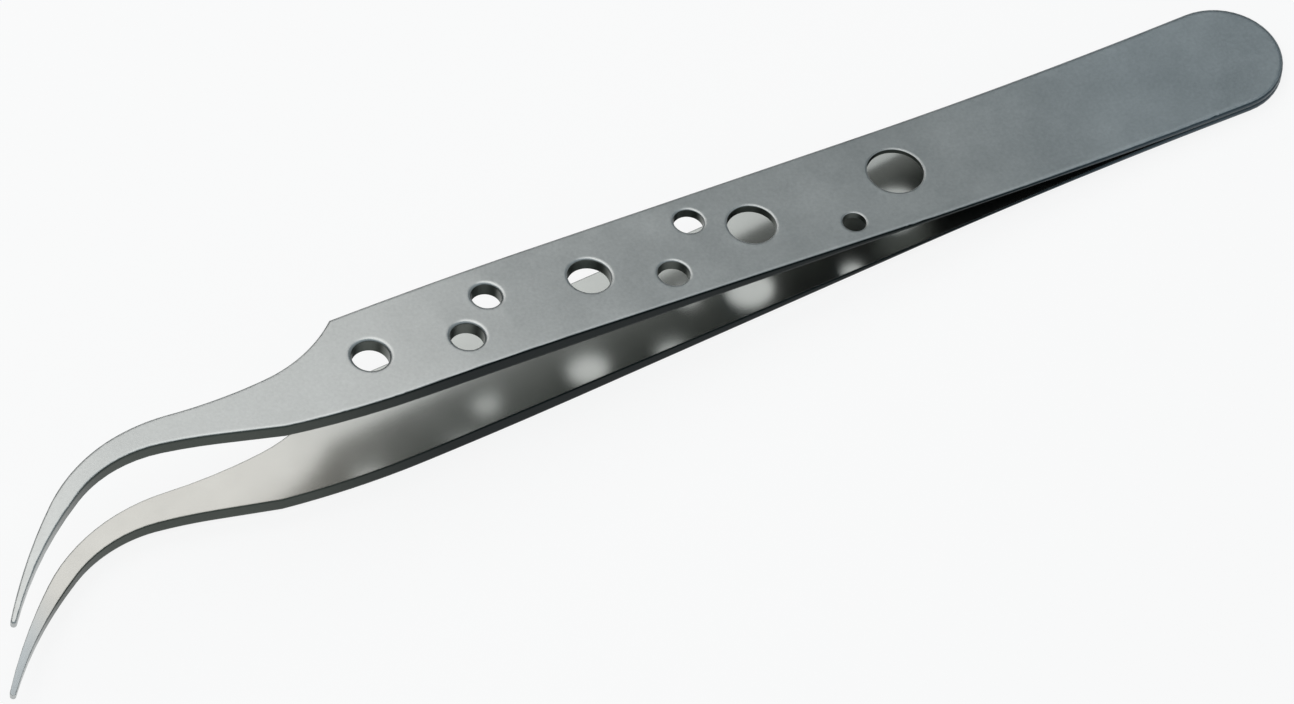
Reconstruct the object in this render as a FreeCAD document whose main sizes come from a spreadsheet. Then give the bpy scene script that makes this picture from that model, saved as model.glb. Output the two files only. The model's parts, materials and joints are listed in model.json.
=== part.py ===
# Curved fine-point tweezers: two spring arms welded face to face at the rear end.
# Millimetres. Before it is laid down, each arm runs from its rear end at X = 0 towards -X, the two
# arms touch in the plane Z = 0, and the points sweep to the near side, -Y.
import FreeCAD, Part
import math
import os
import Sketcher

SIZES = {
    # arm seen from above
    "rear_width": 10.3,
    "shoulder_width": 8.8,
    "body_length": 83.2,
    # far edge of the neck: runs between its joints, and where each joint lies across the arm
    "root_radius": 12.8,
    "root_run": 7.2,
    "root_across": 1.32,
    "waist_run": 8.3,
    "waist_across": 1.35,
    "bend_run": 11.9,
    "bend_across": -2.54,
    "point_run": 7.2,
    "point_across": -10.48,
    "point_round": 0.25,
    # near edge of the neck
    "belly_back": 3.8,
    "belly_half_width": 4.52,
    "kink_run": 7.85,
    "kink_across": -3.5,
    "flank_run": 4.9,
    "flank_across": -2.08,
    "hollow_run": 4.4,
    "hollow_across": -1.06,
    "sweep_run": 7.8,
    "sweep_across": -2.58,
    # arm seen from the side: the face towards the other arm, then the outer face. A straight
    # ends so far back from the shoulder, and its ease and taper run on from there.
    "weld_length": 8.0,
    "inner_bend_end": 20.3,
    "inner_straight_back": 11.0,
    "inner_straight_height": 3.13,
    "inner_ease_run": 14.8,
    "inner_taper_run": 18.0,
    "inner_taper_height": 4.43,
    "inner_tip_height": 4.15,
    "rear_thickness": 0.57,
    "outer_bend_end": 37.1,
    "outer_straight_back": 17.6,
    "outer_straight_height": 4.08,
    "outer_ease_run": 14.9,
    "outer_taper_run": 23.2,
    "outer_taper_height": 5.61,
    "outer_tip_height": 4.78,
    # softened edges: outer border, hole rims on the outer face, all edges of the inner face
    "edge_round": 0.2,
    "rim_break": 0.3,
    "inner_break": 0.08,
}

# Round holes of the upper arm, from the neck to the rear: distance behind the shoulder corner,
# distance across the arm from its middle line, and diameter.
HOLES = [
    (1.3, 0.0, 2.95),
    (9.0, -1.4, 2.65),
    (12.25, 1.6, 2.35),
    (20.6, 0.25, 3.3),
    (26.85, -2.05, 2.35),
    (30.55, 2.2, 2.25),
    (35.0, 0.0, 3.7),
    (42.65, -2.9, 1.65),
    (48.35, 0.5, 4.3),
]

# A face is broad, or a wall, by how far its normal leans from upright.
BROAD_LEAN_DEG = 25
WALL_LEAN_DEG = 78

FIRST_POINT, SECOND_POINT, CENTRE_POINT = range(1, 4)
SAME_PLACE = 1e-6
UP = FreeCAD.Vector(0, 0, 1)

# Headings of a stroke, anticlockwise from +X. Behind a corner the heading is only where the next
# arc starts out.
REARWARD_DEG = 0
FORWARD_DEG = 180
INTO_ROOT_DEG = 221
INTO_BELLY_DEG = -9


def fill_sheet(doc):
    """Write every size to the sheet as text, with its name as the cell's alias."""
    sheet = doc.addObject("Spreadsheet::Sheet", "Sizes")
    sizes = dict(SIZES)
    for number, (back, across, bore) in enumerate(HOLES, start=1):
        sizes[f"hole_{number}_back"] = back
        sizes[f"hole_{number}_across"] = across
        sizes[f"hole_{number}_bore"] = bore
    for row, (alias, value) in enumerate(sizes.items(), start=1):
        sheet.set(f"A{row}", alias)
        sheet.set(f"B{row}", str(value))
        sheet.setAlias(f"B{row}", alias)
    doc.recompute()


def plus(*names):
    """Expression for the sum of some sizes of the sheet."""
    return " + ".join(f"Sizes.{name}" for name in names)


def ahead(*names):
    """Expression for the X of a station that far in front of the rear end."""
    return f"-({plus(*names)})"


def behind_shoulder(size):
    """Expression for the X of a station that far back from the shoulder corner."""
    return f"-(Sizes.body_length - Sizes.{size})"


ROOT_END = ahead("body_length", "root_run")
WAIST_END = ahead("body_length", "root_run", "waist_run")
BEND_END = ahead("body_length", "root_run", "waist_run", "bend_run")
POINT_END = ahead("body_length", "root_run", "waist_run", "bend_run", "point_run")
KINK = ahead("body_length", "kink_run")
FLANK_END = ahead("body_length", "kink_run", "flank_run")
HOLLOW_END = ahead("body_length", "kink_run", "flank_run", "hollow_run")
SWEEP_END = ahead("body_length", "kink_run", "flank_run", "hollow_run", "sweep_run")
PAST_THE_POINT = f"{POINT_END} - 2 * Sizes.point_round"
BLOCK_HEIGHT = "(2 * Sizes.outer_taper_height)"


class Outline:
    """A sketch drawn like a pen stroke, whose joints are bound to the sheet as it goes.

    A coordinate given as text is an expression and binds the joint. One given as a number is only
    where the joint starts out, and the other constraints move it to its place.
    """

    def __init__(self, body, name, plane, side=1):
        self.sketch = body.newObject("Sketcher::SketchObject", name)
        origin = [item for item in body.Origin.OriginFeatures if item.Role == plane][0]
        self.sketch.AttachmentSupport = (origin, [""])
        self.sketch.MapMode = "FlatFace"
        self.side = side

    def value(self, coordinate):
        if isinstance(coordinate, str):
            return float(self.sketch.evalExpression(coordinate))
        return coordinate

    def place(self, along, across):
        return FreeCAD.Vector(self.value(along), self.side * self.value(across), 0)

    def rule(self, *arguments):
        return self.sketch.addConstraint(Sketcher.Constraint(*arguments))

    def bound_rule(self, arguments, expression):
        index = self.rule(*arguments)
        self.sketch.setExpression(f"Constraints[{index}]", expression)

    def bind(self, number, point, along, across):
        spot = self.sketch.getPoint(number, point)
        if isinstance(along, str):
            self.bound_rule(("DistanceX", -1, 1, number, point, spot.x), along)
        if isinstance(across, str):
            expression = f"{self.side} * ({across})"
            self.bound_rule(("DistanceY", -1, 1, number, point, spot.y), expression)

    def start(self, along, across, heading):
        """Set the pen down, with no joint to what was drawn before."""
        self.pen = self.place(along, across)
        self.turn(heading)
        self.last = None

    def turn(self, heading):
        """Point the next arc along a heading, in degrees."""
        self.heading = self.side * math.radians(heading)

    def add(self, curve, end, along, across, smooth):
        number = self.sketch.addGeometry(curve, False)
        near, far = FIRST_POINT, SECOND_POINT
        # An arc is kept anticlockwise, so its first point may be the end of the stroke.
        if self.sketch.getPoint(number, FIRST_POINT).distanceToPoint(self.pen) > SAME_PLACE:
            near, far = SECOND_POINT, FIRST_POINT
        if self.last:
            self.rule("Tangent" if smooth else "Coincident", *self.last, number, near)
        self.bind(number, far, along, across)
        self.pen = end
        self.last = (number, far)
        return number, near

    def line_to(self, along, across, smooth=True):
        end = self.place(along, across)
        run = end - self.pen
        self.heading = math.atan2(run.y, run.x)
        return self.add(Part.LineSegment(self.pen, end), end, along, across, smooth)

    def arc_to(self, along, across, smooth=True):
        """Arc that leaves along the heading and ends at the given joint."""
        end = self.place(along, across)
        run = end - self.pen
        off_heading = math.atan2(run.y, run.x) - self.heading
        turn = 2 * math.atan2(math.sin(off_heading), math.cos(off_heading))
        radius = run.Length / (2 * math.sin(turn / 2))
        to_left = FreeCAD.Vector(-math.sin(self.heading), math.cos(self.heading), 0)
        centre = self.pen + to_left * radius
        circle = Part.Circle(centre, UP, abs(radius))
        first, second = (self.pen, end) if turn > 0 else (end, self.pen)
        first_angle = math.atan2(first.y - centre.y, first.x - centre.x)
        arc = Part.ArcOfCircle(circle, first_angle, first_angle + abs(turn))
        self.heading += turn
        return self.add(arc, end, along, across, smooth)


def draw_face(outline, face, rear_height):
    """One face of the arm seen from the side: weld pad, bend, straight, ease, taper and point.

    The heights where an arc meets a line follow from the tangents. Here they only start out near.
    """
    bend_end = ahead(f"{face}_bend_end")
    straight_end = behind_shoulder(f"{face}_straight_back")
    ease_end = f"{straight_end} - Sizes.{face}_ease_run"
    taper_end = f"{ease_end} - Sizes.{face}_taper_run"
    straight_height = plus(f"{face}_straight_height")
    taper_height = plus(f"{face}_taper_height")

    start_height = outline.value(rear_height)
    bend_half = outline.value(f"({ahead('weld_length')} - {bend_end}) / 2")
    straight_run = outline.value(f"{bend_end} - {straight_end}") + bend_half
    slope = (outline.value(straight_height) - start_height) / straight_run
    bend_height = start_height + slope * bend_half
    ease_half = outline.value(plus(f"{face}_ease_run")) / 2
    ease_corner = outline.value(straight_height) + slope * ease_half
    taper_run = outline.value(plus(f"{face}_taper_run")) + ease_half
    taper_slope = (outline.value(taper_height) - ease_corner) / taper_run
    ease_height = ease_corner + taper_slope * ease_half

    outline.start("0", rear_height, FORWARD_DEG)
    rear = outline.line_to(ahead("weld_length"), rear_height)
    outline.bind(*rear, "0", rear_height)
    outline.arc_to(bend_end, bend_height)
    outline.line_to(straight_end, straight_height)
    outline.arc_to(ease_end, ease_height)
    outline.line_to(taper_end, taper_height)
    outline.arc_to(PAST_THE_POINT, plus(f"{face}_tip_height"))
    return rear, outline.last


def close_ends(outline, first, second):
    """Straight line between two drawn ends."""
    start = outline.sketch.getPoint(*first)
    end = outline.sketch.getPoint(*second)
    number = outline.sketch.addGeometry(Part.LineSegment(start, end), False)
    outline.rule("Coincident", number, FIRST_POINT, *first)
    outline.rule("Coincident", number, SECOND_POINT, *second)


def draw_rim(outline):
    """The arm's outline seen from above, once round from the rear end along its far edge."""
    half_rear = outline.value("Sizes.rear_width / 2")
    far_corner = "Sizes.shoulder_width / 2"
    outline.start(-half_rear, half_rear, FORWARD_DEG)
    far_edge = outline.line_to(ahead("body_length"), far_corner)
    outline.turn(INTO_ROOT_DEG)
    root = outline.arc_to(ROOT_END, plus("root_across"), smooth=False)
    outline.arc_to(WAIST_END, plus("waist_across"))
    outline.arc_to(BEND_END, plus("bend_across"))
    outline.arc_to(POINT_END, plus("point_across"))
    point_round = outline.value(plus("point_round"))
    tip_side = outline.heading + math.pi / 2
    to_near_edge = FreeCAD.Vector(math.cos(tip_side), math.sin(tip_side), 0)
    near_tip = outline.pen + to_near_edge * 2 * point_round
    point = outline.arc_to(near_tip.x, near_tip.y)
    outline.arc_to(SWEEP_END, plus("sweep_across"))
    outline.arc_to(HOLLOW_END, plus("hollow_across"))
    outline.arc_to(FLANK_END, plus("flank_across"))
    outline.line_to(KINK, plus("kink_across"))
    outline.turn(INTO_BELLY_DEG)
    outline.arc_to(behind_shoulder("belly_back"), "-Sizes.belly_half_width", smooth=False)
    outline.line_to(-half_rear, -half_rear)
    rear = outline.arc_to(-half_rear, half_rear)
    outline.rule("Tangent", *outline.last, *far_edge)
    outline.rule("PointOnObject", rear[0], CENTRE_POINT, -1)
    outline.bind(rear[0], CENTRE_POINT, "-Sizes.rear_width / 2", 0.0)
    outline.bound_rule(("Radius", rear[0], half_rear), "Sizes.rear_width / 2")
    outline.bound_rule(("Radius", root[0], outline.sketch.Geometry[root[0]].Radius), plus("root_radius"))
    outline.bound_rule(("Radius", point[0], point_round), plus("point_round"))


def blank(body):
    """The arm's outline as a tall block, which the side view is then cut out of."""
    outline = Outline(body, "outline", "XY_Plane")
    draw_rim(outline)
    pad = body.newObject("PartDesign::Pad", "blank")
    pad.Profile = outline.sketch
    pad.Midplane = True
    pad.setExpression("Length", f"2 * {BLOCK_HEIGHT}")
    return pad


def draw_frame(outline):
    """A rectangle that stands clear of the block all round."""
    rear = "Sizes.rear_width"
    front = f"{PAST_THE_POINT} - Sizes.rear_width"
    below = f"-2 * {BLOCK_HEIGHT}"
    above = f"2 * {BLOCK_HEIGHT}"
    outline.start(rear, below, REARWARD_DEG)
    first = outline.line_to(rear, above)
    outline.line_to(front, above, smooth=False)
    outline.line_to(front, below, smooth=False)
    outline.line_to(rear, below, smooth=False)
    outline.rule("Coincident", *outline.last, *first)


def cut_through(body, name, sketch):
    """Pocket that runs through the block to both sides of its sketch."""
    cut = body.newObject("PartDesign::Pocket", name)
    cut.Profile = sketch
    cut.Type = "ThroughAll"
    cut.Midplane = True
    return cut


def grind(body, side):
    """Cut away all but the bent strip, which is ground thin towards the rear."""
    outline = Outline(body, "side_view", "XZ_Plane", side)
    inner_rear, inner_tip = draw_face(outline, "inner", "0")
    outer_rear, outer_tip = draw_face(outline, "outer", plus("rear_thickness"))
    close_ends(outline, inner_rear, outer_rear)
    close_ends(outline, inner_tip, outer_tip)
    draw_frame(outline)
    return cut_through(body, "grinding", outline.sketch)


def drill(body):
    """The round holes, each with its own place and diameter."""
    outline = Outline(body, "holes", "XY_Plane")
    for number in range(1, len(HOLES) + 1):
        along = behind_shoulder(f"hole_{number}_back")
        across = f"Sizes.hole_{number}_across"
        bore = f"Sizes.hole_{number}_bore"
        centre = outline.place(along, across)
        circle = Part.Circle(centre, UP, outline.value(bore) / 2)
        index = outline.sketch.addGeometry(circle, False)
        outline.bind(index, CENTRE_POINT, along, across)
        outline.bound_rule(("Diameter", index, 2 * circle.Radius), bore)
    return cut_through(body, "drilling", outline.sketch)


def upward(face, edge):
    """How far the face's normal points upwards at the middle of one of its edges."""
    middle = edge.valueAt((edge.FirstParameter + edge.LastParameter) / 2)
    return face.normalAt(*face.Surface.parameter(middle)).z


def is_bore(wall):
    """Whether a wall runs once round, as the wall of a hole does."""
    first, last, _, _ = wall.ParameterRange
    return isinstance(wall.Surface, Part.Cylinder) and last - first > math.pi * 1.9


def border_edges(shape, outer_side, wanted):
    """Names of the edges where a broad face of one side meets a wall of the wanted kind."""
    names = []
    for number, edge in enumerate(shape.Edges, start=1):
        faces = shape.ancestorsOfType(edge, Part.Face)
        normals = [upward(face, edge) for face in faces]
        leans = [math.degrees(math.acos(min(abs(normal), 1))) for normal in normals]
        if max(leans) < WALL_LEAN_DEG or min(leans) > BROAD_LEAN_DEG:
            continue
        wall = faces[leans.index(max(leans))]
        faces_out = normals[leans.index(min(leans))] * outer_side > 0
        if wanted(faces_out, is_bore(wall)):
            names.append(f"Edge{number}")
    return names


def soften(doc, body, base, kind, size, outer_side, wanted):
    """Round the wanted edges over, or break them, by one of the sheet's sizes."""
    doc.recompute()
    softened = body.newObject(f"PartDesign::{kind}", f"{size}s")
    softened.Base = (base, border_edges(base.Shape, outer_side, wanted))
    softened.setExpression("Radius" if kind == "Fillet" else "Size", plus(size))
    return softened


def outer_rim(faces_out, bore):
    return faces_out and bore


def outer_border(faces_out, bore):
    return faces_out and not bore


def inner_edge(faces_out, bore):
    return not faces_out


def arm(doc, node, side, perforated):
    """One arm of the tweezers: side 1 lies above the weld plane, side -1 below it."""
    body = doc.addObject("PartDesign::Body", node)
    body.Label = node
    blank(body)
    shaped = grind(body, side)
    if perforated:
        shaped = drill(body)
        shaped = soften(doc, body, shaped, "Chamfer", "rim_break", side, outer_rim)
    shaped = soften(doc, body, shaped, "Chamfer", "inner_break", side, inner_edge)
    soften(doc, body, shaped, "Fillet", "edge_round", side, outer_border)
    return body


def resting_turn(lower, sizes):
    """Turn about Y that lays the lower arm's rear end and belly on one level floor.

    Both touch the floor with a round stretch: the softened rear edge, and the eased bend of the
    outer face, which is the side view's last arc but one. The floor is the line under both circles.
    """
    side_view = [item for item in lower.Group if item.Label.startswith("side_view")][0]
    arcs = [item for item in side_view.Geometry if isinstance(item, Part.ArcOfCircle)]
    belly = arcs[-2]
    rear_x = -sizes.edge_round
    rear_z = sizes.edge_round - sizes.rear_thickness
    level = rear_x - belly.Center.x
    drop = belly.Center.y - rear_z
    spare = belly.Radius - sizes.edge_round
    turn = math.asin(spare / math.hypot(level, drop)) - math.atan2(drop, level)
    return FreeCAD.Rotation(FreeCAD.Vector(0, 1, 0), math.degrees(turn))


def lay_down(arms, sizes):
    """Rest the pair on Z = 0, with the origin under the middle of its bounding box."""
    turned = FreeCAD.Placement(FreeCAD.Vector(), resting_turn(arms[-1], sizes))
    pair = Part.makeCompound([body.Shape.copy() for body in arms])
    pair.Placement = turned
    box = pair.optimalBoundingBox(False, False)
    shift = FreeCAD.Vector(-box.Center.x, -box.Center.y, -box.ZMin)
    for body in arms:
        body.Placement = FreeCAD.Placement(shift, turned.Rotation)


def check(doc, arms):
    """Stop where an object has failed or a sub-part has no sound shape."""
    for item in doc.Objects:
        if "Invalid" in item.State or "Error" in item.State:
            raise RuntimeError(f"{item.Label} failed: {item.State}")
    for body in arms:
        if body.Shape.isNull() or not body.Shape.isValid() or len(body.Shape.Solids) != 1:
            raise RuntimeError(f"{body.Label} has no sound shape")


def main():
    doc = FreeCAD.newDocument("tweezers")
    fill_sheet(doc)
    arms = [
        arm(doc, "upper_arm", 1, perforated=True),
        arm(doc, "lower_arm", -1, perforated=False),
    ]
    doc.recompute()
    check(doc, arms)
    lay_down(arms, doc.Sizes)
    doc.recompute()
    check(doc, arms)
    os.makedirs("parts", exist_ok=True)
    for body in arms:
        body.Shape.exportStep(f"parts/{body.Label}.step")


main()
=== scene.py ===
import json
import math

import bmesh
import bpy
from mathutils import Matrix, Vector


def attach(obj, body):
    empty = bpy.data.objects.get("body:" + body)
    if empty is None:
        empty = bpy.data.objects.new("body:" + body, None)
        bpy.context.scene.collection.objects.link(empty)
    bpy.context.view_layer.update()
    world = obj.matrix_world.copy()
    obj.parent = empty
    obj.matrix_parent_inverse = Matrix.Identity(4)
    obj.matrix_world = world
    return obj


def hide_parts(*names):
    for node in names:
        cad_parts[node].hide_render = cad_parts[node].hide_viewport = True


bl_info = {
    "name": "Curved perforated tweezers",
    "version": (1, 0, 0),
    "blender": (4, 5, 0),
    "location": "View3D > Sidebar > Tweezers",
    "description": "Satin steel tweezers with a perforated upper arm, on a pale floor",
    "category": "Add Mesh",
}

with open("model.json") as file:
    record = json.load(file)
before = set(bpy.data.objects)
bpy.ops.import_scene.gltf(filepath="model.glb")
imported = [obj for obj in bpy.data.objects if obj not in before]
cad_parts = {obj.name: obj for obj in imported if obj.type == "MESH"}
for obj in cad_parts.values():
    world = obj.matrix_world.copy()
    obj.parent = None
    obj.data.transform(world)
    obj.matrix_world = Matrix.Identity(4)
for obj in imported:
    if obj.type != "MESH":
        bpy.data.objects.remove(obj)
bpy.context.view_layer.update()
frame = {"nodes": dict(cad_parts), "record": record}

MM = 0.001
SAME_PLACE = 1e-6

# How far a face's normal points along the arm's upright where the face counts as broad, or as wall.
BROAD_LEAN = 0.99
WALL_LEAN = 0.05
ROUGH_WALL_LEAN = 0.3
ROUNDNESS = 0.02

# The weld plane between the arms, from the two pads at the rear end.
PADS = {mount["name"]: mount for mount in frame["record"]["mounts"]}
UPRIGHT = Vector(PADS["upper_grip_pad"]["axis"])
WELD_POINT = (Vector(PADS["upper_grip_pad"]["pos_m"]) + Vector(PADS["lower_grip_pad"]["pos_m"])) / 2
ACROSS = Vector((0, 1, 0))
REARWARD = ACROSS.cross(UPRIGHT)

# Where the grip's painted shade and finish begin to give way to those of the points, and where they have.
GRIP_FRONT = -16 * MM
NECK_MIDDLE = -36 * MM
UPPER_TIP_BEGINS = -46 * MM
LOWER_TIP_BEGINS = -51 * MM
TIP_ENDS = -57 * MM
GRIP_REAR = 22 * MM
REAR_END = 50 * MM

# The arm thins towards the rear, and the rims of the holes narrow with it, down to this share.
# What a rim loses, the bore gains in part, so the openings keep their size on the face.
REAR_RIM = 0.25
RIM_FADE = 45 * MM
REAMED = 0.15 * MM

# A cutter's last rim ring stands this share of the rim above the face, so that it cuts the face
# cleanly, and its end cap stands clear. Rays that find the face start far outside the arm.
PROUD = 0.016
CLEARANCE = 0.5 * MM
RAY_START = 50 * MM


def linear(hex_colour):
    """sRGB hex to linear red, green and blue."""
    parts = [int(hex_colour[i : i + 2], 16) / 255 for i in (0, 2, 4)]
    return tuple(p / 12.92 if p <= 0.04045 else ((p + 0.055) / 1.055) ** 2.4 for p in parts)


def add_node(tree, kind, settings=None, **links):
    """Add a node, set its properties and inputs, and link what comes from other nodes.

    A setting named after a property sets it, and one named after an input socket, or numbered
    like it ("in0"), sets that socket's value. A link gives the socket that feeds an input.
    """
    node = tree.nodes.new(kind)
    for key, value in (settings or {}).items():
        if hasattr(node, key):
            setattr(node, key, value)
        else:
            socket_of(node, key).default_value = value
    for key, source in links.items():
        tree.links.new(source, socket_of(node, key))
    return node


def socket_of(node, key):
    if key.startswith("in") and key[2:].isdigit():
        return node.inputs[int(key[2:])]
    name = key.replace("_", " ")
    matches = [s for s in node.inputs if s.name.lower() == name.lower() and s.enabled]
    if not matches:
        raise KeyError(f"{node.bl_idname} has no input {name}")
    return matches[0]


# ---------------------------------------------------------------- sizes and colours


class SteelSettings(bpy.types.PropertyGroup):
    face_colour: bpy.props.FloatVectorProperty(
        name="Outer face",
        description="Blasted outer faces",
        subtype="COLOR",
        default=linear("BCBDBB"),
    )
    # Painted shade: the rear faces are darker and bluer, standing in for the cool room they mirror.
    rear_face_shade_colour: bpy.props.FloatVectorProperty(
        name="Rear outer faces",
        description="The same at the rear, which is blasted finer and looks bluer",
        subtype="COLOR",
        default=linear("A9AFB1"),
    )
    # Painted shade of the gap between the arms: the grip's inner faces are darker than the points'.
    lower_inner_shade_colour: bpy.props.FloatVectorProperty(
        name="Inner face of the lower arm",
        description="Ground inner face that looks up through the gap",
        subtype="COLOR",
        default=linear("A9ABA8"),
    )
    # The upper arm's inner face carries a deeper painted shade.
    upper_inner_shade_colour: bpy.props.FloatVectorProperty(
        name="Inner face of the upper arm",
        description="Ground inner face in the shade, seen only as a reflection in the lower arm",
        subtype="COLOR",
        default=linear("929492"),
    )
    # The points' inner faces carry no painted shade, so they stand brighter than the grip's.
    point_colour: bpy.props.FloatVectorProperty(
        name="Inner face at the points",
        description="Inner faces of the neck and points, which are dressed by hand and brighter",
        subtype="COLOR",
        default=linear("B8B6B1"),
    )
    # Painted shade on the walls: the edge colours run from nearly black along the grip to greyer at the neck and
    # the rear.
    edge_shade_colour: bpy.props.FloatVectorProperty(
        name="Edge",
        description="Punched edges, left darker than the faces",
        subtype="COLOR",
        default=linear("0B1415"),
    )
    point_edge_shade_colour: bpy.props.FloatVectorProperty(
        name="Edge at the points",
        description="Ground edges of the neck and points",
        subtype="COLOR",
        default=linear("474C48"),
    )
    rear_edge_shade_colour: bpy.props.FloatVectorProperty(
        name="Edge at the rear",
        description="Edges of the welded rear end",
        subtype="COLOR",
        default=linear("3F4A50"),
    )
    # At the tips the painted edge shade gives way to about the faces' own tone.
    tip_edge_shade_colour: bpy.props.FloatVectorProperty(
        name="Edge at the tips",
        description="Edges and ends of the tips, which are dressed as bright as their faces",
        subtype="COLOR",
        default=linear("B8BBBA"),
    )
    tip_colour: bpy.props.FloatVectorProperty(
        name="Inner face at the tips",
        description="Inner faces of the tips, cooler than those of the neck",
        subtype="COLOR",
        default=linear("A9AEB0"),
    )
    # Painted shade in the holes: their walls are darker than the faces, though lighter than the outer walls.
    bore_shade_colour: bpy.props.FloatVectorProperty(
        name="Hole walls",
        description="Walls of the round holes, where tumbling reaches them less",
        subtype="COLOR",
        default=linear("5E625E"),
    )
    grit: bpy.props.FloatProperty(
        name="Blasting grit",
        description="Width of one pit of the blasted finish, drawn about four times too wide so that it shows",
        subtype="DISTANCE",
        default=0.28 * MM,
    )
    roll: bpy.props.FloatProperty(
        name="Rolled edge",
        description="How far the tumbled edges round over into the faces",
        subtype="DISTANCE",
        default=0.3 * MM,
    )
    rear_roll: bpy.props.FloatProperty(
        name="Rolled edge at the rear",
        description="The same at the rear end, where the welded arms are tumbled the longest",
        subtype="DISTANCE",
        default=0.5 * MM,
    )
    point_roll: bpy.props.FloatProperty(
        name="Rolled edge at the points",
        description="The same at the neck and points",
        subtype="DISTANCE",
        default=0.3 * MM,
    )
    tip_roll: bpy.props.FloatProperty(
        name="Rolled edge at the tips",
        description="The same at the tips, which are dressed sharper again",
        subtype="DISTANCE",
        default=0.03 * MM,
    )
    cloud: bpy.props.FloatProperty(
        name="Clouding",
        description="Width of the faint uneven patches of the finish",
        subtype="DISTANCE",
        default=5 * MM,
    )


class PerforationSettings(bpy.types.PropertyGroup):
    outer_rim: bpy.props.FloatProperty(
        name="Outer rim",
        description="Radius of the rim on the outer face",
        subtype="DISTANCE",
        default=0.3 * MM,
    )
    inner_rim: bpy.props.FloatProperty(
        name="Inner rim",
        description="Radius of the rim on the inner face",
        subtype="DISTANCE",
        default=0.08 * MM,
    )
    facets: bpy.props.IntProperty(
        name="Facets",
        description="Facets once round a hole",
        default=96,
    )
    steps: bpy.props.IntProperty(
        name="Steps",
        description="Facets from a hole's wall over its rim to the face",
        default=9,
    )


class StageSettings(bpy.types.PropertyGroup):
    floor_colour: bpy.props.FloatVectorProperty(
        name="Floor",
        description="Pale floor sheet",
        subtype="COLOR",
        default=linear("FCFCFC"),
    )
    near_room_colour: bpy.props.FloatVectorProperty(
        name="Room on the viewer's side",
        description="Cool grey of the room overhead and behind the viewer",
        subtype="COLOR",
        default=linear("A1AFB6"),
    )
    far_room_colour: bpy.props.FloatVectorProperty(
        name="Room beyond",
        description="Darker grey of the room beyond the tweezers",
        subtype="COLOR",
        default=linear("596367"),
    )
    softbox_strength: bpy.props.FloatProperty(
        name="Softbox",
        description="Brightness of the softbox, where 1 shows as white",
        default=1.22,
    )


# ---------------------------------------------------------------- materials


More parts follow.
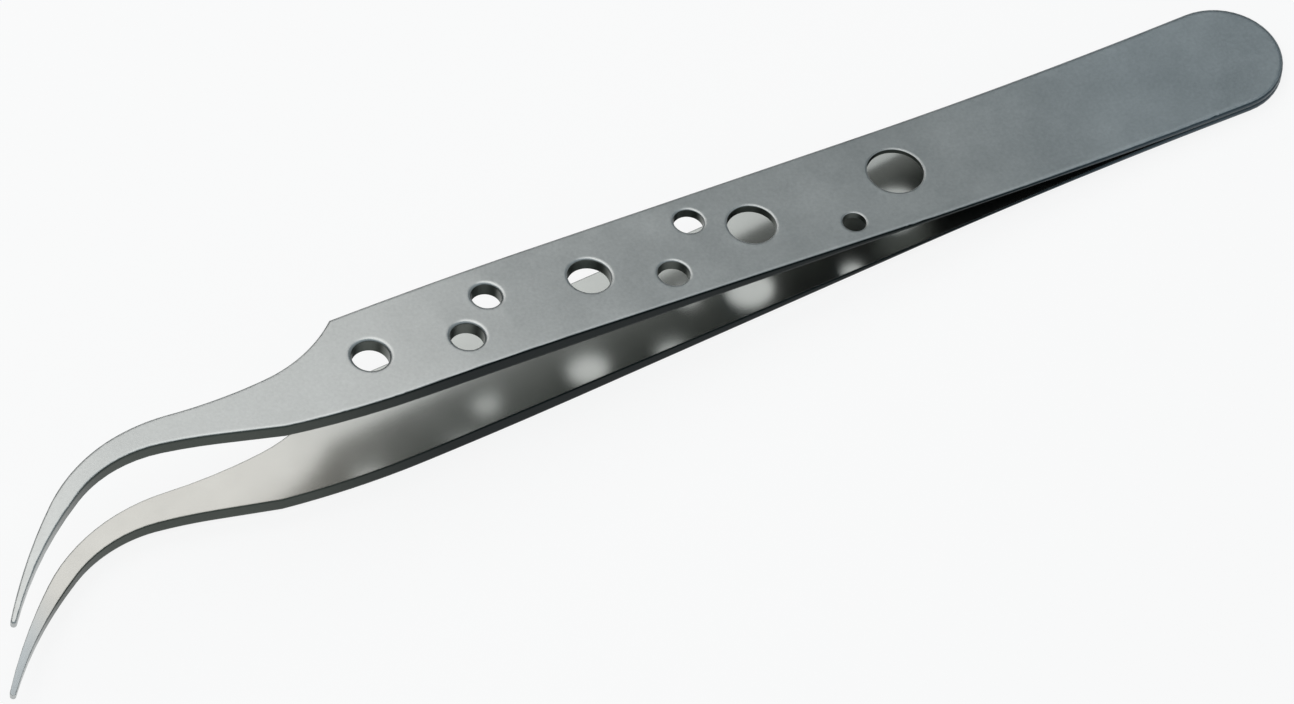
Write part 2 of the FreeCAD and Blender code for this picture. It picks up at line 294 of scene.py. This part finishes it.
def steel(name, inner_side, grip_inner_shade_colour, tip_begins, settings):
    """Spring-hard stainless steel: blasted outer faces, ground inner faces, with painted shade on the edges, the
    hole walls, the rear faces and the grip's inner faces.

    inner_side is 1 where the inner face looks up and -1 where it looks down.
    """
    material = bpy.data.materials.new(name)
    material.use_nodes = True
    tree = material.node_tree
    shader = tree.nodes["Principled BSDF"]
    shader.inputs["Metallic"].default_value = 1.0
    place = add_node(tree, "ShaderNodeTexCoord")
    spot = add_node(tree, "ShaderNodeSeparateXYZ", in0=place.outputs["Object"]).outputs
    point = add_node(
        tree,
        "ShaderNodeMapRange",
        {
            "interpolation_type": "SMOOTHSTEP",
            "From Min": GRIP_FRONT,
            "From Max": NECK_MIDDLE,
        },
        value=spot["X"],
    ).outputs[0]
    tip = add_node(
        tree,
        "ShaderNodeMapRange",
        {"interpolation_type": "SMOOTHSTEP", "From Min": tip_begins, "From Max": TIP_ENDS},
        value=spot["X"],
    ).outputs[0]
    rear = add_node(
        tree,
        "ShaderNodeMapRange",
        {"interpolation_type": "SMOOTHSTEP", "From Min": GRIP_REAR, "From Max": REAR_END},
        value=spot["X"],
    ).outputs[0]
    # Tumbling rolls every edge over a little further than the shape itself has it. The rounded normal shades the
    # outer faces, and where it parts from the true normal, the painted edge shade begins.
    roll = add_node(
        tree,
        "ShaderNodeMapRange",
        {"To Min": settings.roll, "To Max": settings.point_roll},
        value=point,
    ).outputs[0]
    roll = add_node(
        tree, "ShaderNodeMapRange", {"To Max": settings.tip_roll}, value=tip, to_min=roll
    ).outputs[0]
    roll = add_node(
        tree,
        "ShaderNodeMath",
        {"operation": "MULTIPLY_ADD", "in1": settings.rear_roll - settings.roll},
        in0=rear,
        in2=roll,
    ).outputs[0]
    rounded = add_node(tree, "ShaderNodeBevel", {"samples": 8}, radius=roll).outputs["Normal"]
    agreement = add_node(
        tree,
        "ShaderNodeVectorMath",
        {"operation": "DOT_PRODUCT"},
        in0=rounded,
        in1=place.outputs["Normal"],
    ).outputs["Value"]
    flat = add_node(
        tree,
        "ShaderNodeMapRange",
        {"interpolation_type": "SMOOTHSTEP", "From Min": 0.84, "From Max": 0.99},
        value=agreement,
    ).outputs[0]
    upward = add_node(tree, "ShaderNodeSeparateXYZ", in0=place.outputs["Normal"]).outputs["Z"]
    slope = add_node(
        tree, "ShaderNodeMath", {"operation": "MULTIPLY", "in1": float(-inner_side)}, in0=upward
    ).outputs[0]
    bore = add_node(tree, "ShaderNodeAttribute", {"attribute_name": "bore"}).outputs["Fac"]
    # The painted edge shade takes the outer border as soon as it rolls off, and the hole rims stay bright for
    # longer.
    rolled = add_node(
        tree, "ShaderNodeMath", {"operation": "MULTIPLY_ADD", "in1": 0.3}, in0=bore, in2=slope
    ).outputs[0]
    broad = add_node(
        tree,
        "ShaderNodeMapRange",
        {"interpolation_type": "SMOOTHSTEP", "From Min": 0.6, "From Max": 0.96},
        value=rolled,
    ).outputs[0]
    flat_or_bore = add_node(
        tree, "ShaderNodeMath", {"operation": "MAXIMUM"}, in0=flat, in1=bore
    ).outputs[0]
    broad = add_node(
        tree, "ShaderNodeMath", {"operation": "MULTIPLY"}, in0=broad, in1=flat_or_bore
    ).outputs[0]
    towards_gap = add_node(
        tree, "ShaderNodeMath", {"operation": "MULTIPLY", "in1": float(inner_side)}, in0=upward
    ).outputs[0]
    inner_side_on = add_node(
        tree,
        "ShaderNodeMapRange",
        {"interpolation_type": "SMOOTHSTEP", "From Min": 0.94, "From Max": 0.985},
        value=towards_gap,
    ).outputs[0]
    inner = add_node(
        tree, "ShaderNodeMath", {"operation": "MULTIPLY"}, in0=inner_side_on, in1=flat
    ).outputs[0]
    # The inner faces keep their own slope, because they are ground after tumbling, and the holes
    # have their rims in the shape itself.
    facing = add_node(
        tree,
        "ShaderNodeMix",
        {"data_type": "VECTOR"},
        in0=add_node(
            tree, "ShaderNodeMath", {"operation": "MAXIMUM"}, in0=inner_side_on, in1=bore
        ).outputs[0],
        in4=rounded,
        in5=place.outputs["Normal"],
    ).outputs[1]

    # Blasting leaves pits as wide as the grit: a fine, even speckle that scatters the light.
    pits = add_node(
        tree,
        "ShaderNodeTexNoise",
        {"Scale": 1 / settings.grit, "Detail": 2.0, "Roughness": 0.6},
        vector=place.outputs["Object"],
    ).outputs["Fac"]
    clouds = add_node(
        tree,
        "ShaderNodeTexNoise",
        {"Scale": 1 / settings.cloud, "Detail": 3.0, "Roughness": 0.55},
        vector=place.outputs["Object"],
    ).outputs["Fac"]
    # Grinding leaves no pits on the inner faces.
    depth = add_node(
        tree, "ShaderNodeMapRange", {"To Min": 0.28, "To Max": 0.0}, value=inner
    ).outputs[0]
    speckle = add_node(
        tree,
        "ShaderNodeMath",
        {"operation": "MULTIPLY_ADD", "in2": 1.0},
        in0=add_node(tree, "ShaderNodeMath", {"operation": "SUBTRACT", "in1": 0.5}, in0=pits).outputs[0],
        in1=depth,
    ).outputs[0]
    patch = add_node(
        tree, "ShaderNodeMapRange", {"To Min": 0.86, "To Max": 1.14}, value=clouds
    ).outputs[0]
    uneven = add_node(
        tree, "ShaderNodeMath", {"operation": "MULTIPLY"}, in0=speckle, in1=patch
    ).outputs[0]

    # Painted shade on the walls: nearly black along the grip, greyer at the neck and the rear, and near the
    # faces' tone at the tips.
    edge = add_node(
        tree,
        "ShaderNodeMix",
        {
            "data_type": "RGBA",
            "in6": (*settings.edge_shade_colour, 1),
            "in7": (*settings.point_edge_shade_colour, 1),
        },
        in0=point,
    ).outputs[2]
    edge = add_node(
        tree,
        "ShaderNodeMix",
        {"data_type": "RGBA", "in7": (*settings.rear_edge_shade_colour, 1)},
        in0=rear,
        in6=edge,
    ).outputs[2]
    edge = add_node(
        tree,
        "ShaderNodeMix",
        {"data_type": "RGBA", "in7": (*settings.tip_edge_shade_colour, 1)},
        in0=tip,
        in6=edge,
    ).outputs[2]
    # The hole walls take their own painted shade.
    wall = add_node(
        tree,
        "ShaderNodeMix",
        {"data_type": "RGBA", "in7": (*settings.bore_shade_colour, 1)},
        in0=bore,
        in6=edge,
    ).outputs[2]
    # The rear faces turn to a darker, bluer painted shade.
    face = add_node(
        tree,
        "ShaderNodeMix",
        {
            "data_type": "RGBA",
            "in6": (*settings.face_colour, 1),
            "in7": (*settings.rear_face_shade_colour, 1),
        },
        in0=rear,
    ).outputs[2]
    face_or_wall_shade = add_node(
        tree, "ShaderNodeMix", {"data_type": "RGBA"}, in0=broad, in6=wall, in7=face
    ).outputs[2]
    # The grip's inner faces carry the painted shade of the gap, which gives way to the points' and the tips' own
    # tones.
    ground = add_node(
        tree,
        "ShaderNodeMix",
        {
            "data_type": "RGBA",
            "in6": (*grip_inner_shade_colour, 1),
            "in7": (*settings.point_colour, 1),
        },
        in0=point,
    ).outputs[2]
    ground = add_node(
        tree,
        "ShaderNodeMix",
        {"data_type": "RGBA", "in7": (*settings.tip_colour, 1)},
        in0=tip,
        in6=ground,
    ).outputs[2]
    base = add_node(
        tree, "ShaderNodeMix", {"data_type": "RGBA"}, in0=inner, in6=face_or_wall_shade, in7=ground
    ).outputs[2]
    colour = add_node(
        tree,
        "ShaderNodeVectorMath",
        {"operation": "SCALE"},
        in0=base,
        scale=uneven,
    ).outputs[0]
    tree.links.new(colour, shader.inputs["Base Color"])

    # The ground inner faces mirror more clearly than the blasted ones.
    finish = add_node(
        tree, "ShaderNodeMapRange", {"To Min": 0.36, "To Max": 0.24}, value=inner
    ).outputs[0]
    roughness = add_node(
        tree,
        "ShaderNodeMath",
        {"operation": "MULTIPLY"},
        in0=finish,
        in1=uneven,
    ).outputs[0]
    tree.links.new(roughness, shader.inputs["Roughness"])

    relief = add_node(
        tree,
        "ShaderNodeBump",
        {"Distance": settings.grit / 20},
        height=pits,
        strength=depth,
        normal=facing,
    ).outputs[0]
    tree.links.new(relief, shader.inputs["Normal"])
    return material


# ---------------------------------------------------------------- the arms


def merged_copy(node):
    """The CAD node's faces as one closed mesh."""
    bm = bmesh.new()
    bm.from_mesh(frame["nodes"][node].data)
    for layer in list(bm.loops.layers.float_vector.values()):
        bm.loops.layers.float_vector.remove(layer)
    bmesh.ops.remove_doubles(bm, verts=bm.verts, dist=SAME_PLACE)
    return bm


def piece(name, bm, material):
    """A plain object at the origin from a bmesh."""
    mesh = bpy.data.meshes.new(name)
    bm.to_mesh(mesh)
    bm.free()
    for attribute in [a for a in mesh.attributes if a.name in ("custom_normal", "sharp_face", "sharp_edge")]:
        mesh.attributes.remove(attribute)
    mesh.shade_smooth()
    mesh.materials.clear()
    mesh.materials.append(material)
    obj = bpy.data.objects.new(name, mesh)
    bpy.context.scene.collection.objects.link(obj)
    return obj


def settle(obj):
    """Make the modified shape the object's own mesh."""
    depsgraph = bpy.context.evaluated_depsgraph_get()
    mesh = bpy.data.meshes.new_from_object(obj.evaluated_get(depsgraph), depsgraph=depsgraph)
    obj.modifiers.clear()
    obj.data = mesh


def blank_of_upper_arm():
    """The upper arm before it is drilled: the lower arm's mirror image in the weld plane."""
    bm = merged_copy("lower_arm")
    for vert in bm.verts:
        vert.co -= 2 * (vert.co - WELD_POINT).dot(UPRIGHT) * UPRIGHT
    bmesh.ops.reverse_faces(bm, faces=bm.faces)
    return bm


def wall_groups(bm):
    """Sets of wall faces that join edge to edge, slivers among them."""
    walls = {face for face in bm.faces if abs(face.normal.dot(UPRIGHT)) < ROUGH_WALL_LEAN}
    groups = []
    while walls:
        group, waiting = set(), [walls.pop()]
        while waiting:
            face = waiting.pop()
            group.add(face)
            for edge in face.edges:
                for other in edge.link_faces:
                    if other in walls:
                        walls.remove(other)
                        waiting.append(other)
        groups.append(group)
    return groups


def bores():
    """Each hole in the upper arm's CAD mesh: its place on the weld plane, radius and share of the full rim."""
    bm = merged_copy("upper_arm")
    found = []
    for group in wall_groups(bm):
        corners = {vert.co.copy().freeze() for face in group for vert in face.verts}
        spans = []
        for axis in (REARWARD, ACROSS):
            places = [(corner - WELD_POINT).dot(axis) for corner in corners]
            spans.append((min(places), max(places)))
        (rear_low, rear_high), (across_low, across_high) = spans
        length, width = rear_high - rear_low, across_high - across_low
        # Only a hole's wall is as wide as it is long. The rest belongs to the arm's own outline.
        if abs(length - width) < ROUNDNESS * length:
            middle = WELD_POINT + REARWARD * (rear_low + rear_high) / 2 + ACROSS * (across_low + across_high) / 2
            share = min(1, max(REAR_RIM, 1 - (middle.x - GRIP_FRONT) / RIM_FADE))
            found.append((middle, length / 2 + REAMED * (1 - share), share))
    bm.free()
    return sorted(found, key=lambda bore: bore[0].x)


def bore_points(found):
    """One vertex for each hole, with its radius and its share of the full rim as attributes."""
    places, radii, shares = zip(*found)
    mesh = bpy.data.meshes.new("bores")
    mesh.from_pydata(places, [], [])
    mesh.attributes.new("bore_radius", "FLOAT", "POINT").data.foreach_set("value", radii)
    mesh.attributes.new("rim_share", "FLOAT", "POINT").data.foreach_set("value", shares)
    obj = bpy.data.objects.new("bores", mesh)
    bpy.context.scene.collection.objects.link(obj)
    return obj


def perforation_tree():
    """Drill every hole and roll its rims over, outside and inside, as tumbling leaves them.

    A cutter is a cylinder with many rings. Ring 0, on either side of its middle, is on the hole's
    wall. From there the rings spread over a quarter circle, and each one's corners are dropped on
    the face by a ray, so a rim follows the face's own slope.
    """
    tree = bpy.data.node_groups.new("perforations", "GeometryNodeTree")
    sizes = (
        ("Geometry", "NodeSocketGeometry"),
        ("Bores", "NodeSocketObject"),
        ("Outer rim", "NodeSocketFloat"),
        ("Inner rim", "NodeSocketFloat"),
        ("Facets", "NodeSocketInt"),
        ("Steps", "NodeSocketInt"),
        ("Finish", "NodeSocketMaterial"),
    )
    for name, kind in sizes:
        tree.interface.new_socket(name, in_out="INPUT", socket_type=kind)
    tree.interface.new_socket("Geometry", in_out="OUTPUT", socket_type="NodeSocketGeometry")
    given = add_node(tree, "NodeGroupInput").outputs
    steps = given["Steps"]

    def math_node(operation, first, second=0.0):
        settings = {"operation": operation}
        links = {}
        for key, value in (("in0", first), ("in1", second)):
            if isinstance(value, float):
                settings[key] = value
            else:
                links[key] = value
        return add_node(tree, "ShaderNodeMath", settings, **links).outputs[0]

    def stored(geometry, name, kind, value):
        settings = {"data_type": kind, "domain": "POINT", "in2": name}
        return add_node(
            tree, "GeometryNodeStoreNamedAttribute", settings, in0=geometry, in3=value
        ).outputs[0]

    def read(name, kind):
        return add_node(
            tree, "GeometryNodeInputNamedAttribute", {"data_type": kind, "in0": name}
        ).outputs[0]

    def along(vector, distance):
        """A fixed direction times a distance, or a vector times a number."""
        settings = {"operation": "SCALE"}
        links = {"scale": distance}
        if isinstance(vector, Vector):
            settings["in0"] = vector
        else:
            links["in0"] = vector
        return add_node(tree, "ShaderNodeVectorMath", settings, **links).outputs[0]

    def added(first, second):
        return add_node(tree, "ShaderNodeVectorMath", {"operation": "ADD"}, in0=first, in1=second).outputs[0]

    # The unit cutter: 1 m wide and tall, with its rings counted from its middle outwards.
    layers = math_node("ADD", math_node("MULTIPLY", steps, 2.0), 3.0)
    unit = add_node(
        tree,
        "GeometryNodeMeshCylinder",
        {"fill_type": "NGON", "Radius": 1.0, "Depth": 1.0},
        vertices=given["Facets"],
        side_segments=layers,
    ).outputs[0]
    spot = add_node(
        tree, "ShaderNodeSeparateXYZ", in0=add_node(tree, "GeometryNodeInputPosition").outputs[0]
    ).outputs
    height = math_node("ABSOLUTE", spot["Z"])
    unit = stored(unit, "ring", "FLOAT", math_node("SUBTRACT", math_node("MULTIPLY", height, layers), 0.5))
    unit = stored(unit, "side", "FLOAT", math_node("SIGN", spot["Z"]))
    spoke = added(along(REARWARD, spot["X"]), along(ACROSS, spot["Y"]))
    unit = stored(unit, "spoke", "FLOAT_VECTOR", spoke)

    # One at each bore.
    points = add_node(
        tree, "GeometryNodeObjectInfo", {"transform_space": "ORIGINAL"}, object=given["Bores"]
    ).outputs["Geometry"]
    points = stored(
        points, "middle", "FLOAT_VECTOR", add_node(tree, "GeometryNodeInputPosition").outputs[0]
    )
    placed = add_node(tree, "GeometryNodeInstanceOnPoints", in0=points, instance=unit).outputs[0]
    cutters = add_node(tree, "GeometryNodeRealizeInstances", in0=placed).outputs[0]

    # Each ring's reach out from the wall, and its rise above the face.
    side = read("side", "FLOAT")
    ring = read("ring", "FLOAT")
    rim = add_node(
        tree,
        "ShaderNodeMapRange",
        {"From Min": -1.0, "From Max": 1.0},
        value=side,
        to_min=given["Inner rim"],
        to_max=given["Outer rim"],
    ).outputs[0]
    rim = math_node("MULTIPLY", rim, read("rim_share", "FLOAT"))
    turn = math_node("DIVIDE", math_node("MINIMUM", ring, steps), steps)
    turn = math_node("MULTIPLY", turn, math.pi / 2)
    reach = math_node("MULTIPLY", rim, math_node("SUBTRACT", 1.0, math_node("COSINE", turn)))
    rise = math_node("SUBTRACT", math_node("SINE", turn), 1.0)
    last = math_node("GREATER_THAN", ring, math_node("SUBTRACT", steps, 0.5))
    rise = math_node("ADD", rise, math_node("MULTIPLY", last, PROUD))
    rise = math_node("MULTIPLY", rise, rim)
    beyond = math_node("GREATER_THAN", ring, math_node("ADD", steps, 0.5))
    rise = math_node("ADD", rise, math_node("MULTIPLY", beyond, CLEARANCE))

    radius = math_node("ADD", read("bore_radius", "FLOAT"), reach)
    foot = added(read("middle", "FLOAT_VECTOR"), along(read("spoke", "FLOAT_VECTOR"), radius))
    outwards = along(UPRIGHT, side)
    landed = add_node(
        tree,
        "GeometryNodeRaycast",
        {"Ray Length": 2 * RAY_START},
        target_geometry=given["Geometry"],
        source_position=added(foot, along(outwards, math_node("MULTIPLY", RAY_START, 1.0))),
        ray_direction=along(outwards, math_node("MULTIPLY", -1.0, 1.0)),
    ).outputs["Hit Position"]
    cutters = add_node(
        tree,
        "GeometryNodeSetPosition",
        in0=cutters,
        position=added(landed, along(outwards, rise)),
    ).outputs[0]

    drilled = add_node(
        tree,
        "GeometryNodeMeshBoolean",
        {"operation": "DIFFERENCE", "solver": "EXACT"},
        in0=given["Geometry"],
        in1=cutters,
    ).outputs[0]
    whole = add_node(tree, "GeometryNodeRealizeInstances", in0=drilled).outputs[0]
    finished = add_node(
        tree, "GeometryNodeSetMaterial", in0=whole, material=given["Finish"]
    ).outputs[0]
    add_node(tree, "NodeGroupOutput", in0=finished)
    return tree


def drill(obj, finish, settings):
    """Drill the upper arm's blank through Geometry Nodes, and keep the result as a plain mesh."""
    found = bores()
    points = bore_points(found)
    tree = perforation_tree()
    modifier = obj.modifiers.new("perforations", "NODES")
    modifier.node_group = tree
    values = {
        "Bores": points,
        "Outer rim": settings.outer_rim,
        "Inner rim": settings.inner_rim,
        "Facets": settings.facets,
        "Steps": settings.steps,
        "Finish": finish,
    }
    for item in tree.interface.items_tree:
        if item.in_out == "INPUT" and item.name in values:
            modifier[item.identifier] = values[item.name]
    settle(obj)
    bpy.data.objects.remove(points)
    for name in ("ring", "side", "spoke", "middle", "bore_radius", "rim_share"):
        if name in obj.data.attributes:
            obj.data.attributes.remove(obj.data.attributes[name])
    mark_bores(obj.data, found, settings)


def mark_bores(mesh, found, settings):
    """Note the faces of the holes' walls and rims: the walls take the steel's painted hole shade, and both keep
    their true normals.
    """
    homes = []
    for vert in mesh.vertices:
        home = None
        for index, (middle, radius, share) in enumerate(found):
            offset = vert.co - middle
            offset -= UPRIGHT * offset.dot(UPRIGHT)
            if offset.length < radius + settings.outer_rim * share:
                home = index
        homes.append(home)
    inside = []
    for face in mesh.polygons:
        own = {homes[corner] for corner in face.vertices}
        inside.append(1.0 if len(own) == 1 and None not in own else 0.0)
    mesh.attributes.new("bore", "FLOAT", "FACE").data.foreach_set("value", inside)


def soften_shading(mesh):
    """Let the broad faces, and then the walls, keep their normals, so that only the edges between shade round."""
    broad = [Vector() for _ in mesh.vertices]
    wall = [Vector() for _ in mesh.vertices]
    edge = [Vector() for _ in mesh.vertices]
    for face in mesh.polygons:
        lean = abs(face.normal.dot(UPRIGHT))
        kind = broad if lean > BROAD_LEAN else wall if lean < WALL_LEAN else edge
        for corner in face.vertices:
            kind[corner] += face.normal * face.area
    normals = []
    for kinds in zip(broad, wall, edge):
        normals.append(next(n for n in kinds if n.length > 0).normalized())
    mesh.shade_smooth()
    mesh.normals_split_custom_set_from_vertices(normals)


def fit_to_frame(obj, node):
    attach(obj, "root")
    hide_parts(node)


class TWEEZERS_OT_lower_arm(bpy.types.Operator):
    """Add the plain lower arm"""

    bl_idname = "tweezers.lower_arm"
    bl_label = "Lower arm"

    def execute(self, context):
        settings = context.scene.tweezers_steel
        finish = steel(
            "satin_stainless_lower_arm", 1, settings.lower_inner_shade_colour, LOWER_TIP_BEGINS, settings
        )
        obj = piece("lower_arm_steel", merged_copy("lower_arm"), finish)
        soften_shading(obj.data)
        fit_to_frame(obj, "lower_arm")
        return {"FINISHED"}


class TWEEZERS_OT_upper_arm(bpy.types.Operator):
    """Add the perforated upper arm"""

    bl_idname = "tweezers.upper_arm"
    bl_label = "Upper arm"

    def execute(self, context):
        settings = context.scene.tweezers_steel
        finish = steel(
            "satin_stainless_upper_arm", -1, settings.upper_inner_shade_colour, UPPER_TIP_BEGINS, settings
        )
        obj = piece("upper_arm_steel", blank_of_upper_arm(), finish)
        drill(obj, finish, context.scene.tweezers_perforation)
        soften_shading(obj.data)
        fit_to_frame(obj, "upper_arm")
        return {"FINISHED"}


# ---------------------------------------------------------------- stage

# The photograph's view: where the lens axis meets a plane just above the floor, and from where.
AIM = Vector((-1.98, -3.74, 5.14)) * MM
AZIMUTH = math.radians(-29.674)
ELEVATION = math.radians(52.850)
ROLL = math.radians(1.080)
CAMERA_DISTANCE = 695.61 * MM
LENS_MM = 250.386
SENSOR_MM = 36.0


# The room's light side: overhead and towards the viewer.
LIGHT_SIDE = Vector((0, -0.55, 0.83))


def place_camera():
    data = bpy.data.cameras.new("view")
    data.lens = LENS_MM
    data.sensor_width = SENSOR_MM
    camera = bpy.data.objects.new("view", data)
    back = Vector(
        (
            math.sin(AZIMUTH) * math.cos(ELEVATION),
            -math.cos(AZIMUTH) * math.cos(ELEVATION),
            math.sin(ELEVATION),
        )
    )
    level = Vector((math.cos(AZIMUTH), math.sin(AZIMUTH), 0))
    right = level * math.cos(ROLL) + back.cross(level) * math.sin(ROLL)
    up = back.cross(right)
    turn = Matrix((right, up, back)).transposed()
    camera.matrix_world = Matrix.Translation(AIM + back * CAMERA_DISTANCE) @ turn.to_4x4()
    bpy.context.scene.collection.objects.link(camera)
    bpy.context.scene.camera = camera


def paper(settings):
    """Pale seamless paper: shows near white, and still takes the object's soft shadow."""
    material = bpy.data.materials.new("pale_paper")
    material.use_nodes = True
    tree = material.node_tree
    tree.nodes.clear()
    path = add_node(tree, "ShaderNodeLightPath")
    seen = path.outputs["Is Camera Ray"]
    for ray in ("Is Glossy Ray", "Is Transmission Ray"):
        seen = add_node(
            tree, "ShaderNodeMath", {"operation": "MAXIMUM"}, in0=seen, in1=path.outputs[ray]
        ).outputs[0]
    share = add_node(
        tree, "ShaderNodeMath", {"operation": "MULTIPLY", "in1": 0.88}, in0=seen
    ).outputs[0]
    matt = add_node(tree, "ShaderNodeBsdfDiffuse", {"Color": (*settings.floor_colour, 1)})
    white = add_node(tree, "ShaderNodeEmission", {"Color": (*settings.floor_colour, 1), "Strength": 1.0})
    both = add_node(
        tree, "ShaderNodeMixShader", in0=share, in1=matt.outputs[0], in2=white.outputs[0]
    )
    add_node(tree, "ShaderNodeOutputMaterial", surface=both.outputs[0])
    return material


def add_floor(settings):
    half = 3.0
    mesh = bpy.data.meshes.new("floor")
    mesh.from_pydata([(-half, -half, 0), (half, -half, 0), (half, half, 0), (-half, half, 0)], [], [(0, 1, 2, 3)])
    mesh.materials.append(paper(settings))
    floor = bpy.data.objects.new("floor", mesh)
    bpy.context.scene.collection.objects.link(floor)


def add_softbox(name, centre, size, strength, colour):
    """A flat lamp that hangs level over the floor. Its strength is its brightness, 1 being white."""
    data = bpy.data.lights.new(name, "AREA")
    data.shape = "RECTANGLE"
    data.size, data.size_y = size
    data.energy = strength * math.pi * size[0] * size[1]
    data.color = colour
    lamp = bpy.data.objects.new(name, data)
    lamp.location = centre
    bpy.context.scene.collection.objects.link(lamp)


def light_room(settings):
    world = bpy.data.worlds.new("room")
    world.use_nodes = True
    tree = world.node_tree
    background = tree.nodes["Background"]
    towards_light = add_node(
        tree,
        "ShaderNodeVectorMath",
        {"operation": "DOT_PRODUCT", "in1": LIGHT_SIDE},
        in0=add_node(tree, "ShaderNodeTexCoord").outputs["Generated"],
    ).outputs["Value"]
    share = add_node(
        tree, "ShaderNodeMapRange", {"From Min": -0.1, "From Max": 0.85}, value=towards_light
    ).outputs[0]
    room = add_node(
        tree,
        "ShaderNodeMix",
        {
            "data_type": "RGBA",
            "in6": (*settings.far_room_colour, 1),
            "in7": (*settings.near_room_colour, 1),
        },
        in0=share,
    ).outputs[2]
    tree.links.new(room, background.inputs["Color"])
    background.inputs["Strength"].default_value = 1.0
    bpy.context.scene.world = world


class TWEEZERS_OT_stage(bpy.types.Operator):
    """Add the floor, the lamps and the camera"""

    bl_idname = "tweezers.stage"
    bl_label = "Stage"

    def execute(self, context):
        settings = context.scene.tweezers_stage
        add_floor(settings)
        light_room(settings)
        add_softbox("softbox", (-0.05, 0.15, 0.30), (0.42, 0.60), settings.softbox_strength, (1, 0.975, 0.955))
        place_camera()
        context.scene.view_settings.view_transform = "Standard"
        return {"FINISHED"}


# ---------------------------------------------------------------- add-on


class TWEEZERS_PT_panel(bpy.types.Panel):
    """Tweezers, piece by piece"""

    bl_idname = "TWEEZERS_PT_panel"
    bl_label = "Tweezers"
    bl_space_type = "VIEW_3D"
    bl_region_type = "UI"
    bl_category = "Tweezers"

    def draw(self, context):
        scene = context.scene
        for group in (scene.tweezers_steel, scene.tweezers_perforation, scene.tweezers_stage):
            box = self.layout.box()
            for name in group.__annotations__:
                box.prop(group, name)
        for operator in OPERATORS:
            self.layout.operator(operator.bl_idname)


OPERATORS = (TWEEZERS_OT_lower_arm, TWEEZERS_OT_upper_arm, TWEEZERS_OT_stage)
CLASSES = (SteelSettings, PerforationSettings, StageSettings, *OPERATORS, TWEEZERS_PT_panel)


def register():
    for cls in CLASSES:
        bpy.utils.register_class(cls)
    bpy.types.Scene.tweezers_steel = bpy.props.PointerProperty(type=SteelSettings)
    bpy.types.Scene.tweezers_perforation = bpy.props.PointerProperty(type=PerforationSettings)
    bpy.types.Scene.tweezers_stage = bpy.props.PointerProperty(type=StageSettings)


def unregister():
    del bpy.types.Scene.tweezers_stage
    del bpy.types.Scene.tweezers_perforation
    del bpy.types.Scene.tweezers_steel
    for cls in reversed(CLASSES):
        bpy.utils.unregister_class(cls)


def main():
    register()
    bpy.ops.tweezers.lower_arm()
    bpy.ops.tweezers.upper_arm()
    bpy.ops.tweezers.stage()


if __name__ == "__main__":
    main()
